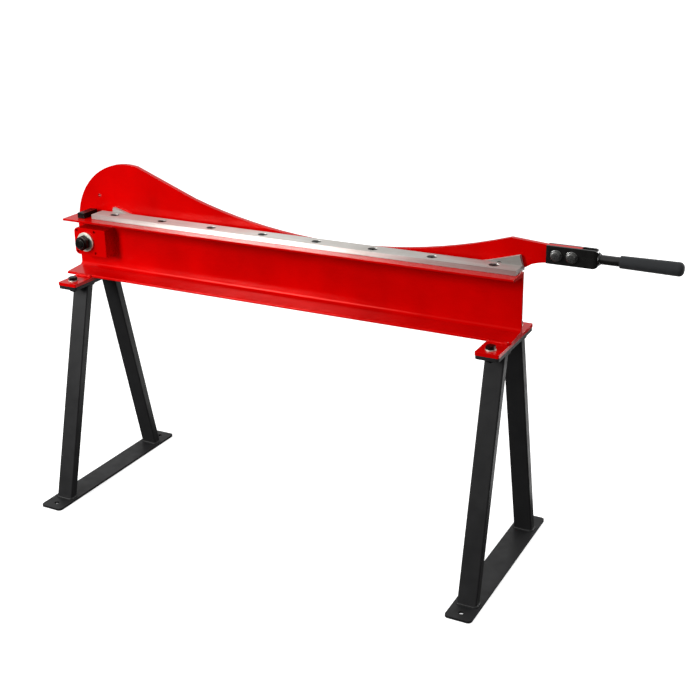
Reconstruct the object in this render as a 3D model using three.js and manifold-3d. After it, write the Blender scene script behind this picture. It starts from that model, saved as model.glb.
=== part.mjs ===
// A lever shear (guillotine) for sheet metal on two trestle stands.
//
// A rolled channel lies on its two stands with its open side to the front. The
// lower blade is screwed to its top flange. The arm plate hangs on a pivot bolt
// behind the channel's web and carries a curved upper blade, which slides down
// past the lower blade's rear edge. The arm is modelled closed, at the end of a cut.
//
// Millimetres. +X runs along the bed towards the handle, +Y to the rear, +Z up.
// The origin is on the floor, under the middle of the whole machine.

import * as THREE from 'three';
import { mergeVertices } from 'three/addons/utils/BufferGeometryUtils.js';
import Module from 'manifold-3d';

const wasm = await Module();
wasm.setup();

// ---------------------------------------------------------------- dimensions

// Gap left between pieces that touch, and the radial room round a shank.
const faceGap = 0.3;
const shankGap = 0.3;

// Bed: a tapered-flange channel.
const bedLength = 1060;
const bedHeight = 128;
const flangeWidth = 58;
const webThickness = 6;
const flangeTip = 5;
const flangeRoot = 9.5;
const rootFillet = 8;
const toeRadius = 2.5;
const tableHeight = 626;

// Stands: welded trestles of rectangular tube between flat bars.
const leftStandInset = 47;
const rightStandInset = 27;
const standMiddle = -22;
const legWidth = 40;
const legDepth = 20;
const legWall = 2;
const legCorner = 3;
const legSpreadFoot = 342;
const legNutGap = 2.2;
const frontLegSetBack = 12;
const footToe = 47;
const topBar = { width: 48, length: 192, thickness: 7, corner: 6 };
const mountBar = { width: 48, length: 192, thickness: 7, corner: 2.5 };
const footBar = { width: 55, length: legSpreadFoot + 2 * footToe, thickness: 5, corner: 8 };
const barHoleInset = 22;
const floorHoleRadius = 5.5;

// Fasteners.
const standBolt = { radius: 5, flats: 17, head: 6.4, nut: 8, washer: 10.5, washerThickness: 2 };
const clevisBolt = { radius: 5, flats: 16, head: 6.4, nut: 8, washer: 11, washerThickness: 2 };
const pivotBolt = { radius: 10, flats: 30, head: 12.5, nut: 13, washer: 22, washerThickness: 4 };
const lockCollar = { radius: 12.8, height: 5.5, round: 2 };
const pivotEndProud = 1.5;
const boltEndProud = 3;
const hexCrown = 0.96;
const hexChamfer = 30;
const bladeScrew = { radius: 5, head: 10, land: 0.6, sunk: 1.4, socketFlats: 6, socketDepth: 3.5 };
const lowerScrewProud = 1;
const upperScrewProud = 2;

// Lower blade: a flat bar whose rear edge stands a little behind the web.
const lowerBladeInset = 62;
const lowerBladeEnd = 4;
const lowerBlade = {
  length: bedLength - lowerBladeInset - lowerBladeEnd,
  width: 40,
  thickness: 10,
  rearOverhang: 6,
  corner: 0.5,
};
const bladeScrewCount = 8;
const bladeScrewEnd = 51;

// Side stop: a square bar across the flange, left of the lower blade.
const sideStop = { width: 19, depth: 46, height: 12, left: 28, corner: 0.8 };

// Upper blade: a flat bar bowed to an arc, cutting edge below.
const upperBlade = { thickness: 8, depth: 30, edgeRadius: 1723 };
const bladeGap = 0.3;
const cutStart = { inset: 22, overlap: 19.2 };
const cutEnd = { outset: 0.6, overlap: 10.2 };
const upperScrewEnd = 46;

// Pivot, measured from the channel's left end and top face.
const pivotInset = 46;
const pivotDrop = 53;
const bushWall = 4;
const blockRoom = 4.5;
const pivotBlock = {
  left: 31.5,
  right: 54.5,
  height: 2 * (pivotDrop - flangeRoot - rootFillet - blockRoom),
  depth: 34,
  corner: 10,
};
const blockHole = { radius: 3, side: 7, end: 6.5 };

// Arm plate, measured from the pivot.
const armThickness = 10;
const hubRadius = 56;
const heelRadius = 144.5;
const heelLean = 18;
const heelEnd = 79.6;
const saddle = { start: 259, endBack: 29.6, lift: 58.98, radius: 1180 };
const edgeProud = 3;
const shoulderX = 254;
const shoulderEase = 30;
const neckEase = 10;
const lockHole = { x: 4, z: 95, radius: 4 };

// Clevis and handle at the arm's free end, beyond the end of the cutting edge.
const neckReach = 41.4;
const neckLift = 35.9;
const clevisHeight = 35;
const clevisPlate = 5;
const clevisCorner = 10;
const clevisBoltInset = 20;
const clevisBoltPitch = 30;
const tailMargin = 16;
const bendRoom = 23;
const rodRadius = 9;
const rodBare = 38;
const grip = { length: 115, wall: 2.5, flare: 1.4, endRound: 10, endWall: 12, rootChamfer: 1 };

// ---------------------------------------------------------------- derived

const rootBase = bedHeight + mountBar.thickness + faceGap;
const legBottom = footBar.thickness + faceGap;
const legTop = tableHeight - rootBase - faceGap - topBar.thickness - faceGap;
const bladeFace = lowerBlade.rearOverhang + bladeGap;
const armFace = bladeFace + upperBlade.thickness + faceGap;
const armMiddle = armFace + armThickness / 2;
const blockFront = webThickness + faceGap + pivotBlock.depth;
const pivot = { x: pivotInset, z: -pivotDrop };
const boltLine = topBar.length / 2 - barHoleInset;
const rearLegTop = boltLine - standBolt.flats / Math.sqrt(3) - legNutGap;
const frontLegTop = rearLegTop - frontLegSetBack;

// Corners of the closed cutting edge and the middle of its arc, from the pivot.
const edgeTop = faceGap + lowerBlade.thickness;
const edgeStart = {
  x: lowerBladeInset + cutStart.inset - pivot.x,
  z: edgeTop - cutStart.overlap - pivot.z,
};
const edgeEnd = {
  x: lowerBladeInset + lowerBlade.length + cutEnd.outset - pivot.x,
  z: edgeTop - cutEnd.overlap - pivot.z,
};
const chord = Math.hypot(edgeEnd.x - edgeStart.x, edgeEnd.z - edgeStart.z);
const chordSlope = Math.atan2(edgeEnd.z - edgeStart.z, edgeEnd.x - edgeStart.x);
const arcRise = Math.sqrt(upperBlade.edgeRadius ** 2 - (chord / 2) ** 2);
const arcCentre = {
  x: (edgeStart.x + edgeEnd.x) / 2 - arcRise * Math.sin(chordSlope),
  z: (edgeStart.z + edgeEnd.z) / 2 + arcRise * Math.cos(chordSlope),
};
const arcStart = Math.atan2(edgeStart.z - arcCentre.z, edgeStart.x - arcCentre.x);
const arcEnd = Math.atan2(edgeEnd.z - arcCentre.z, edgeEnd.x - arcCentre.x);

// ---------------------------------------------------------------- materials

const finish = (color, roughness, metalness) =>
  new THREE.MeshStandardMaterial({ color, roughness, metalness });
const redPaint = finish(0xc80000, 0.25, 0.0);
const blackPaint = finish(0x2a2a2b, 0.45, 0.0);
const groundSteel = finish(0xb4b2ac, 0.3, 1.0);
const zincPlate = finish(0xc2c3b8, 0.35, 1.0);
const blackOxide = finish(0x1d1c1c, 0.5, 0.7);
const bronze = finish(0x9c7a45, 0.4, 1.0);
const gripFoam = finish(0x2f3133, 0.8, 0.0);

// ---------------------------------------------------------------- solids

// Turns a closed three.js geometry into a solid that can be cut and joined.
function solid(geometry) {
  geometry.deleteAttribute('normal');
  geometry.deleteAttribute('uv');
  const merged = mergeVertices(geometry, 1e-4);
  return new wasm.Manifold(new wasm.Mesh({
    numProp: 3,
    vertProperties: new Float32Array(merged.attributes.position.array),
    triVerts: new Uint32Array(merged.index.array),
  }));
}

// Turns a solid back into a named mesh and hangs it in a group.
function add(group, name, body, material, x = 0, y = 0, z = 0) {
  const data = body.getMesh();
  const geometry = new THREE.BufferGeometry();
  geometry.setAttribute('position', new THREE.BufferAttribute(data.vertProperties, 3));
  geometry.setIndex(new THREE.BufferAttribute(data.triVerts, 1));
  geometry.computeVertexNormals();
  const mesh = new THREE.Mesh(geometry, material);
  mesh.name = name;
  mesh.position.set(x, y, z);
  group.add(mesh);
  return mesh;
}

// An outline drawn in x and z, given a thickness towards +Y from y = 0.
function plateAlongY(shape, thickness, curveSegments = 10) {
  const geometry = new THREE.ExtrudeGeometry(shape, {
    depth: thickness, bevelEnabled: false, curveSegments,
  });
  geometry.rotateX(Math.PI / 2);
  geometry.translate(0, thickness, 0);
  return solid(geometry);
}

// An outline drawn in x and y, given a height from z = 0.
function plateAlongZ(shape, height, curveSegments = 2) {
  return solid(new THREE.ExtrudeGeometry(shape, {
    depth: height, bevelEnabled: false, curveSegments,
  }));
}

// A round bar along Z between two heights.
function roundBar(radius, low, high, segments = 16) {
  const geometry = new THREE.CylinderGeometry(radius, radius, high - low, segments);
  geometry.rotateX(Math.PI / 2);
  geometry.translate(0, 0, (low + high) / 2);
  return solid(geometry);
}

// A turned piece about Z. The profile runs up the outside, from axis to axis.
function turned(profile, segments = 16) {
  const points = profile.map(([radius, height]) => new THREE.Vector2(radius, height));
  const geometry = new THREE.LatheGeometry(points, segments);
  geometry.rotateX(Math.PI / 2);
  return solid(geometry);
}

// A rectangle centred on the origin, with rounded corners.
function roundedRectangle(width, length, corner) {
  const shape = new THREE.Shape();
  const x = width / 2 - corner;
  const y = length / 2 - corner;
  shape.absarc(x, y, corner, 0, Math.PI / 2);
  shape.absarc(-x, y, corner, Math.PI / 2, Math.PI);
  shape.absarc(-x, -y, corner, Math.PI, 1.5 * Math.PI);
  shape.absarc(x, -y, corner, 1.5 * Math.PI, 2 * Math.PI);
  return shape;
}

// A six-sided prism about Z, its corners taken off by a cone at the top.
function hexagon(flats, height) {
  const corner = flats / Math.sqrt(3);
  const crown = hexCrown * flats / 2;
  const reach = 1.1 * corner;
  const drop = (reach - crown) * Math.tan(THREE.MathUtils.degToRad(hexChamfer));
  const prism = new THREE.CylinderGeometry(corner, corner, height, 6);
  prism.rotateX(Math.PI / 2);
  prism.translate(0, 0, height / 2);
  const cone = turned([[0, 0], [reach, 0], [reach, height - drop], [crown, height], [0, height]]);
  return solid(prism).intersect(cone);
}

// A hexagon bolt, its head standing on z = 0 and its shank hanging below.
function hexBolt(size, shank) {
  return hexagon(size.flats, size.head).add(roundBar(size.radius, -shank, size.head / 2));
}

function hexNut(size, height) {
  return hexagon(size.flats, height).subtract(roundBar(size.radius + shankGap, -1, height + 1));
}

// A hexagon nut with a round locking collar on its outer face.
function lockingNut(size, collar) {
  const top = size.nut + collar.height;
  const body = hexagon(size.flats, size.nut).add(turned([
    [0, size.nut / 2], [collar.radius, size.nut / 2], [collar.radius, top - collar.round],
    [collar.radius - collar.round, top], [0, top],
  ], 24));
  return body.subtract(roundBar(size.radius + shankGap, -1, top + 1));
}

function washer(size) {
  const body = roundBar(size.washer, 0, size.washerThickness, 24);
  return body.subtract(roundBar(size.radius + shankGap, -1, size.washerThickness + 1));
}

// A countersunk socket screw, its flat head at z = 0 and its shank below.
function bladeScrewBody(length) {
  const { radius, head, land, socketFlats, socketDepth } = bladeScrew;
  const body = turned([
    [0, -length], [radius, -length], [radius, radius - head - land],
    [head, -land], [head, 0], [0, 0],
  ], 12);
  const socket = new THREE.CylinderGeometry(
    socketFlats / Math.sqrt(3), socketFlats / Math.sqrt(3), 2 * socketDepth, 6);
  socket.rotateX(Math.PI / 2);
  return body.subtract(solid(socket));
}

// The hole that such a screw sinks into, cut from z = 0 down to a depth.
function bladeScrewHole(depth) {
  const radius = bladeScrew.radius + shankGap;
  const head = bladeScrew.head + shankGap;
  const cone = -bladeScrew.sunk - bladeScrew.land;
  return turned([
    [0, -depth], [radius, -depth], [radius, cone + radius - head], [head, cone], [head, 1], [0, 1],
  ], 24);
}

const spread = (count, length, end) =>
  Array.from({ length: count }, (_, i) => end + i * (length - 2 * end) / (count - 1));

// ---------------------------------------------------------------- bed

const machine = new THREE.Group();
const bed = new THREE.Group();
bed.position.z = tableHeight;
machine.add(bed);

const lowerScrewX = spread(bladeScrewCount, lowerBlade.length, bladeScrewEnd)
  .map((x) => x + lowerBladeInset);
const lowerBladeMiddle = lowerBlade.rearOverhang - lowerBlade.width / 2;

// The channel's section, drawn with x to the rear and y up, starting at the top of the web.
function channelSection() {
  const taper = Math.atan2(flangeRoot - flangeTip, flangeWidth - webThickness);
  const slopeAt = (y) => flangeTip + (y + flangeWidth) * Math.tan(taper);
  const filletY = -webThickness - rootFillet;
  const filletZ = slopeAt(filletY + rootFillet * Math.sin(taper)) + rootFillet * Math.cos(taper);
  const toe = new THREE.Vector2(-flangeWidth + toeRadius, flangeTip);
  const shape = new THREE.Shape();
  shape.moveTo(0, 0);
  shape.lineTo(-flangeWidth, 0);
  shape.lineTo(-flangeWidth, -toe.y + toeRadius);
  shape.quadraticCurveTo(-flangeWidth, -toe.y, toe.x, -slopeAt(toe.x));
  shape.absarc(filletY, -filletZ, rootFillet, Math.PI / 2 - taper, 0, true);
  shape.absarc(filletY, filletZ - bedHeight, rootFillet, 0, taper - Math.PI / 2, true);
  shape.lineTo(toe.x, slopeAt(toe.x) - bedHeight);
  shape.quadraticCurveTo(-flangeWidth, toe.y - bedHeight, -flangeWidth, toe.y - toeRadius - bedHeight);
  shape.lineTo(-flangeWidth, -bedHeight);
  shape.lineTo(0, -bedHeight);
  return shape;
}

function bedChannel() {
  const geometry = new THREE.ExtrudeGeometry(channelSection(), {
    depth: bedLength, bevelEnabled: false, curveSegments: 3,
  });
  const along = new THREE.Matrix4().makeBasis(
    new THREE.Vector3(0, 1, 0), new THREE.Vector3(0, 0, 1), new THREE.Vector3(1, 0, 0));
  geometry.applyMatrix4(along);
  let body = solid(geometry);
  const boltHole = roundBar(pivotBolt.radius + shankGap, -2 * webThickness, webThickness, 32);
  body = body.subtract(boltHole.rotate([-90, 0, 0]).translate([pivot.x, 0, pivot.z]));
  for (const x of lowerScrewX) {
    const hole = roundBar(bladeScrew.radius + shankGap, -2 * flangeRoot, 1, 12);
    body = body.subtract(hole.translate([x, lowerBladeMiddle, 0]));
  }
  return body;
}

function lowerBladeBar() {
  const outline = roundedRectangle(lowerBlade.length, lowerBlade.width, lowerBlade.corner);
  let body = plateAlongZ(outline, lowerBlade.thickness, 1);
  for (const x of lowerScrewX) {
    const hole = bladeScrewHole(lowerBlade.thickness + 1);
    const fromMiddle = x - lowerBladeInset - lowerBlade.length / 2;
    body = body.subtract(hole.translate([fromMiddle, 0, lowerBlade.thickness]));
  }
  return body;
}

add(bed, 'bed_channel', bedChannel(), redPaint);
add(bed, 'lower_blade', lowerBladeBar(), groundSteel,
  lowerBladeInset + lowerBlade.length / 2, lowerBladeMiddle, faceGap);
const screwHead = faceGap + lowerBlade.thickness - bladeScrew.sunk;
lowerScrewX.forEach((x, i) => {
  const length = screwHead + flangeRoot + lowerScrewProud;
  add(bed, `lower_blade_screw_${i + 1}`, bladeScrewBody(length), blackOxide,
    x, lowerBladeMiddle, screwHead);
});

const stopOutline = roundedRectangle(sideStop.width, sideStop.depth, sideStop.corner);
add(bed, 'side_stop', plateAlongZ(stopOutline, sideStop.height, 2), blackOxide,
  sideStop.left + sideStop.width / 2, lowerBlade.rearOverhang - sideStop.depth / 2, faceGap);

// ---------------------------------------------------------------- pivot

// Everything here is turned about the pivot axis, which runs front to rear.
const hub = new THREE.Group();
hub.position.set(pivot.x, 0, pivot.z);
bed.add(hub);
const towardsFront = (body) => body.rotate([90, 0, 0]);
const towardsRear = (body) => body.rotate([-90, 0, 0]);

function pivotBlockBody() {
  const { left, right, height, depth, corner } = pivotBlock;
  const shape = new THREE.Shape();
  shape.moveTo(right, -height / 2);
  shape.lineTo(right, height / 2);
  shape.absarc(corner - left, height / 2 - corner, corner, Math.PI / 2, Math.PI);
  shape.absarc(corner - left, corner - height / 2, corner, Math.PI, 1.5 * Math.PI);
  let body = plateAlongY(shape, depth, 3);
  const bore = roundBar(pivotBolt.radius + shankGap, -1, depth + 1, 32);
  body = body.subtract(towardsRear(bore));
  const holeX = left - blockHole.side;
  const holeZ = height / 2 - blockHole.end;
  for (const x of [-holeX, holeX]) {
    for (const z of [-holeZ, holeZ]) {
      const hole = roundBar(blockHole.radius, -1, depth + 1, 16);
      body = body.subtract(towardsRear(hole).translate([x, 0, z]));
    }
  }
  return body;
}

add(hub, 'pivot_block', pivotBlockBody(), redPaint, 0, -blockFront);

const frontWasherY = -blockFront - faceGap;
const nutY = frontWasherY - pivotBolt.washerThickness - faceGap;
const boltTipY = nutY - pivotBolt.nut - lockCollar.height - pivotEndProud;
add(hub, 'pivot_front_washer', towardsFront(washer(pivotBolt)), zincPlate, 0, frontWasherY);
add(hub, 'pivot_nut', towardsFront(lockingNut(pivotBolt, lockCollar)), blackOxide, 0, nutY);

const bushRadius = pivotBolt.radius + shankGap + bushWall;
const spacerLength = armFace - 2 * faceGap;
const spacer = { radius: pivotBolt.radius, washer: pivotBolt.washer, washerThickness: spacerLength };
add(hub, 'pivot_spacer', towardsRear(washer(spacer)), zincPlate, 0, faceGap);
const bushLength = armThickness + 2 * faceGap;
const bush = { radius: pivotBolt.radius, washer: bushRadius, washerThickness: bushLength };
const bushY = armFace - faceGap / 2;
add(hub, 'pivot_bush', towardsRear(washer(bush)), bronze, 0, bushY);
const rearWasherY = bushY + bushLength + faceGap;
add(hub, 'pivot_rear_washer', towardsRear(washer(pivotBolt)), zincPlate, 0, rearWasherY);
const boltHeadY = rearWasherY + pivotBolt.washerThickness + faceGap;
add(hub, 'pivot_bolt', towardsRear(hexBolt(pivotBolt, boltHeadY - boltTipY)), blackOxide,
  0, boltHeadY);

// ---------------------------------------------------------------- arm

const arm = new THREE.Group();
hub.add(arm);

const onArc = (radius, angle) => [
  arcCentre.x + radius * Math.cos(angle), arcCentre.z + radius * Math.sin(angle)];
const armEdge = upperBlade.edgeRadius - edgeProud;
const clevisStart = edgeEnd.x + neckReach;
const clevisLevel = edgeEnd.z + neckLift;
const armTail = clevisBoltInset + clevisBoltPitch + tailMargin;
const tailEnd = clevisStart + armTail;
const tailLow = clevisLevel - clevisHeight / 2;
const tailHigh = clevisLevel + clevisHeight / 2;
const screwArc = upperBlade.edgeRadius - upperBlade.depth / 2;
const upperScrewAngles = spread(
  bladeScrewCount, (arcEnd - arcStart) * screwArc, upperScrewEnd).map((s) => arcStart + s / screwArc);
const clevisBoltX = [clevisBoltInset, clevisBoltInset + clevisBoltPitch].map((x) => clevisStart + x);

// The plate's outline, clockwise from the underside of the hub.
function armOutline() {
  const heel = THREE.MathUtils.degToRad(heelLean);
  const heelCentre = {
    x: (heelRadius - hubRadius) * Math.cos(heel), z: (heelRadius - hubRadius) * Math.sin(heel),
  };
  const shoulderAngle = -Math.PI / 2 - Math.asin((arcCentre.x - shoulderX) / armEdge);
  const [, shoulderZ] = onArc(armEdge, shoulderAngle);
  const shoulderReach = Math.hypot(shoulderX, shoulderZ);
  const tangent = Math.atan2(shoulderZ, shoulderX) - Math.acos(hubRadius / shoulderReach);
  const foot = { x: hubRadius * Math.cos(tangent), z: hubRadius * Math.sin(tangent) };
  const ease = shoulderEase / Math.hypot(shoulderX - foot.x, shoulderZ - foot.z);
  const saddleEnd = edgeEnd.x - saddle.endBack;
  const saddleHalf = (saddleEnd - saddle.start) / 2;
  const saddleHalfAngle = Math.asin(saddleHalf / saddle.radius);
  const saddleCentre = edgeEnd.z + saddle.lift + saddle.radius * Math.cos(saddleHalfAngle);
  const down = -Math.PI / 2;
  const [neckX, neckZ] = onArc(armEdge, arcEnd);
  const neckRun = Math.hypot(clevisStart - neckX, tailLow - neckZ);
  const neckBack = 2 * neckEase / neckRun;

  const shape = new THREE.Shape();
  shape.absarc(0, 0, hubRadius, tangent, heel - Math.PI, true);
  shape.absarc(heelCentre.x, heelCentre.z, heelRadius, heel + Math.PI,
    THREE.MathUtils.degToRad(heelEnd), true);
  shape.absarc(saddle.start + saddleHalf, saddleCentre, saddle.radius,
    down - saddleHalfAngle, down + saddleHalfAngle, false);
  shape.lineTo(clevisStart, tailHigh);
  shape.lineTo(tailEnd, tailHigh);
  shape.lineTo(tailEnd, tailLow);
  shape.lineTo(clevisStart + neckEase, tailLow);
  shape.quadraticCurveTo(clevisStart - neckEase, tailLow,
    clevisStart - neckEase - neckBack * (clevisStart - neckX),
    tailLow - neckBack * (tailLow - neckZ));
  shape.absarc(arcCentre.x, arcCentre.z, armEdge, arcEnd,
    shoulderAngle + shoulderEase / armEdge, true);
  shape.quadraticCurveTo(shoulderX, shoulderZ,
    shoulderX + ease * (foot.x - shoulderX), shoulderZ + ease * (foot.z - shoulderZ));
  return shape;
}

function armPlate() {
  let body = plateAlongY(armOutline(), armThickness);
  const cut = (x, z, radius, segments) => {
    const hole = roundBar(radius, -1, armThickness + 1, segments);
    body = body.subtract(towardsRear(hole).translate([x, 0, z]));
  };
  cut(0, 0, bushRadius + shankGap, 32);
  cut(lockHole.x, lockHole.z, lockHole.radius, 24);
  for (const angle of upperScrewAngles) {
    cut(...onArc(screwArc, angle), bladeScrew.radius + shankGap, 12);
  }
  for (const x of clevisBoltX) {
    cut(x, clevisLevel, clevisBolt.radius + shankGap, 16);
  }
  return body;
}

function upperBladeBar() {
  const back = upperBlade.edgeRadius - upperBlade.depth;
  const shape = new THREE.Shape();
  shape.absarc(arcCentre.x, arcCentre.z, upperBlade.edgeRadius, arcStart, arcEnd, false);
  shape.absarc(arcCentre.x, arcCentre.z, back, arcEnd, arcStart, true);
  let body = plateAlongY(shape, upperBlade.thickness);
  for (const angle of upperScrewAngles) {
    const [x, z] = onArc(screwArc, angle);
    const hole = towardsFront(bladeScrewHole(upperBlade.thickness + 1));
    body = body.subtract(hole.translate([x, 0, z]));
  }
  return body;
}

add(arm, 'arm_plate', armPlate(), redPaint, 0, armFace);
add(arm, 'upper_blade', upperBladeBar(), groundSteel, 0, bladeFace);
const upperScrewLength =
  upperBlade.thickness - bladeScrew.sunk + faceGap + armThickness + upperScrewProud;
upperScrewAngles.forEach((angle, i) => {
  const [x, z] = onArc(screwArc, angle);
  add(arm, `upper_blade_screw_${i + 1}`, towardsFront(bladeScrewBody(upperScrewLength)),
    blackOxide, x, bladeFace + bladeScrew.sunk, z);
});

// ---------------------------------------------------------------- clevis and handle

const clevisHalf = armThickness / 2 + faceGap + clevisPlate;
const clevisReach = armTail + bendRoom;

// A flat bar bent into a U round the arm's tail, with rounded corners at the bend.
function clevisBody() {
  const bend = clevisReach;
  const inner = clevisHalf - clevisPlate;
  const shape = new THREE.Shape();
  shape.moveTo(0, -clevisHalf);
  shape.absarc(bend, 0, clevisHalf, -Math.PI / 2, Math.PI / 2, false);
  shape.lineTo(0, clevisHalf);
  shape.lineTo(0, inner);
  shape.absarc(bend, 0, inner, Math.PI / 2, -Math.PI / 2, true);
  shape.lineTo(0, -inner);
  let body = plateAlongZ(shape, clevisHeight, 6).translate([0, 0, -clevisHeight / 2]);
  const side = roundedRectangle(2 * (bend + clevisHalf), clevisHeight, clevisCorner);
  body = body.intersect(plateAlongY(side, 4 * clevisHalf, 3).translate([0, -2 * clevisHalf, 0]));
  for (const x of clevisBoltX) {
    const hole = roundBar(clevisBolt.radius + shankGap, -2 * clevisHalf, 2 * clevisHalf);
    body = body.subtract(towardsRear(hole).translate([x - clevisStart, 0, 0]));
  }
  return body;
}

const handle = new THREE.Group();
handle.position.set(clevisStart, armMiddle, clevisLevel);
arm.add(handle);
add(handle, 'clevis', clevisBody(), blackPaint);
const clevisGrip = 2 * clevisHalf + clevisBolt.washerThickness + 3 * faceGap;
clevisBoltX.forEach((x, i) => {
  const at = x - clevisStart;
  const washerY = -clevisHalf - faceGap;
  const headY = washerY - clevisBolt.washerThickness - faceGap;
  const shank = clevisGrip + clevisBolt.nut + boltEndProud;
  add(handle, `clevis_washer_${i + 1}`, towardsFront(washer(clevisBolt)), blackOxide, at, washerY);
  add(handle, `clevis_bolt_${i + 1}`, towardsFront(hexBolt(clevisBolt, shank)), blackOxide,
    at, headY);
  add(handle, `clevis_nut_${i + 1}`, towardsRear(hexNut(clevisBolt, clevisBolt.nut)), blackOxide,
    at, clevisHalf + faceGap);
});

const alongX = (body) => body.rotate([0, 90, 0]);
const rodStart = clevisReach + clevisHalf + faceGap;
const gripStart = rodStart + rodBare;
const rodLength = rodBare + grip.length - grip.endWall - faceGap;
add(handle, 'handle_rod', alongX(roundBar(rodRadius, 0, rodLength, 20)), blackPaint, rodStart);

function gripBody() {
  const { length, endRound, endWall, rootChamfer } = grip;
  const bore = rodRadius + shankGap;
  const rootRadius = bore + grip.wall;
  const endRadius = rootRadius + grip.flare;
  const profile = [[0, length - endWall], [bore, length - endWall], [bore, 0],
    [rootRadius - rootChamfer, 0], [rootRadius, rootChamfer], [endRadius, length - endRound]];
  const steps = 4;
  for (let i = 1; i <= steps; i += 1) {
    const angle = (i / steps) * (Math.PI / 2);
    profile.push([
      i === steps ? 0 : endRadius - endRound + endRound * Math.cos(angle),
      length - endRound + endRound * Math.sin(angle)]);
  }
  return turned(profile, 20);
}

add(handle, 'handle_grip', alongX(gripBody()), gripFoam, gripStart);

// ---------------------------------------------------------------- stands

// A flat bar along Y with a hole near each end.
function flatBar(bar, holeRadius) {
  let body = plateAlongZ(roundedRectangle(bar.width, bar.length, bar.corner), bar.thickness);
  for (const end of [-1, 1]) {
    const hole = roundBar(holeRadius, -1, bar.thickness + 1, 24);
    body = body.subtract(hole.translate([0, end * (bar.length / 2 - barHoleInset), 0]));
  }
  return body;
}

// A tube that leans from the foot to the top, its ends cut level with the bars.
function leg(side, topReach) {
  const height = legTop - legBottom;
  const lean = (topReach - legSpreadFoot / 2) / height;
  const depth = legDepth * Math.hypot(1, lean);
  const shape = roundedRectangle(legWidth, depth, legCorner);
  shape.holes.push(roundedRectangle(
    legWidth - 2 * legWall, depth - 2 * legWall * Math.hypot(1, lean), legCorner - legWall));
  const geometry = new THREE.ExtrudeGeometry(shape, {
    depth: height, bevelEnabled: false, curveSegments: 1,
  });
  const shear = new THREE.Matrix4().set(
    1, 0, 0, 0, 0, 1, side * lean, 0, 0, 0, 1, 0, 0, 0, 0, 1);
  geometry.applyMatrix4(shear);
  geometry.translate(0, side * (legSpreadFoot - depth) / 2, 0);
  return solid(geometry);
}

const mountBase = tableHeight - rootBase;
const topBarBase = mountBase - faceGap - topBar.thickness;

for (const [side, x] of [['left', leftStandInset], ['right', bedLength - rightStandInset]]) {
  const stand = new THREE.Group();
  stand.position.set(x, standMiddle, 0);
  machine.add(stand);
  add(stand, `${side}_foot_bar`, flatBar(footBar, floorHoleRadius), blackPaint);
  add(stand, `${side}_front_leg`, leg(-1, frontLegTop), blackPaint, 0, 0, legBottom);
  add(stand, `${side}_rear_leg`, leg(1, rearLegTop), blackPaint, 0, 0, legBottom);
  add(stand, `${side}_top_bar`, flatBar(topBar, standBolt.radius + shankGap), blackPaint,
    0, 0, topBarBase);
  add(stand, `${side}_mount_bar`, flatBar(mountBar, standBolt.radius + shankGap), redPaint,
    0, 0, mountBase);
  for (const [place, sign] of [['front', -1], ['rear', 1]]) {
    const name = `${side}_${place}_stand`;
    const washerBase = mountBase + mountBar.thickness + faceGap;
    const headBase = washerBase + standBolt.washerThickness + faceGap;
    const nutTop = topBarBase - faceGap;
    const shank = headBase - nutTop + standBolt.nut + boltEndProud;
    add(stand, `${name}_washer`, washer(standBolt), zincPlate, 0, sign * boltLine, washerBase);
    add(stand, `${name}_bolt`, hexBolt(standBolt, shank), blackOxide,
      0, sign * boltLine, headBase);
    add(stand, `${name}_nut`, hexNut(standBolt, standBolt.nut).rotate([180, 0, 0]), blackOxide,
      0, sign * boltLine, nutTop);
  }
}

// ---------------------------------------------------------------- frame

const shears = new THREE.Group();
shears.add(machine);
const box = new THREE.Box3().setFromObject(machine, true);
const middle = box.getCenter(new THREE.Vector3());
machine.position.set(-middle.x, -middle.y, -box.min.z);

export default shears;
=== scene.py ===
"""A lever shear for sheet metal, on two trestle stands.

The machine's pieces are taken in the order in which they are put together: the bed, what is
fixed to it, the pivot, the arm with its blade and handle, the stands, and last the studio.
Metres. X runs along the bed towards the handle, Y to the rear, Z up from the floor.
"""

import math
import random

import bmesh
import bpy
from mathutils import Matrix, Vector


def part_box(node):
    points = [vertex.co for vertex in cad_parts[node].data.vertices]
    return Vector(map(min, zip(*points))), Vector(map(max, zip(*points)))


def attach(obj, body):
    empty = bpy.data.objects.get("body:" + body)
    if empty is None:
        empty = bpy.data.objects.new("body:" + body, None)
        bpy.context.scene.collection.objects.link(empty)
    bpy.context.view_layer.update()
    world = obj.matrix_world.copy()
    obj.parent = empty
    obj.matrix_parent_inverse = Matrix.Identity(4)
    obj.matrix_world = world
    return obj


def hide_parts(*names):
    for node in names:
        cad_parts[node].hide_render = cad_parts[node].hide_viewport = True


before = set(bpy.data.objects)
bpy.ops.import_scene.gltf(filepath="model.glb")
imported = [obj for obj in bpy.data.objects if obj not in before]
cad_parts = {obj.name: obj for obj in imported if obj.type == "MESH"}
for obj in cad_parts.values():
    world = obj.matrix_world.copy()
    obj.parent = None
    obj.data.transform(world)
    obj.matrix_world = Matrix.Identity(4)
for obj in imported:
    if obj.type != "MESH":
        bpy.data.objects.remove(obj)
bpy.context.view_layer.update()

# ---------------------------------------------------------------- bed channel
# A rolled steel channel with tapered flanges, its open side to the front. It is shot clean,
# sprayed with a thick glossy red enamel once everything is welded to it, and stoved.

MM = 0.001


def new_finish(name):
    """A material with its shader, ready for that shader's sockets to be set or driven."""
    material = bpy.data.materials.new(name)
    material.use_nodes = True
    shader = material.node_tree.nodes["Principled BSDF"]
    place = material.node_tree.nodes.new("ShaderNodeTexCoord")
    return material, shader, place.outputs["Object"]


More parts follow.
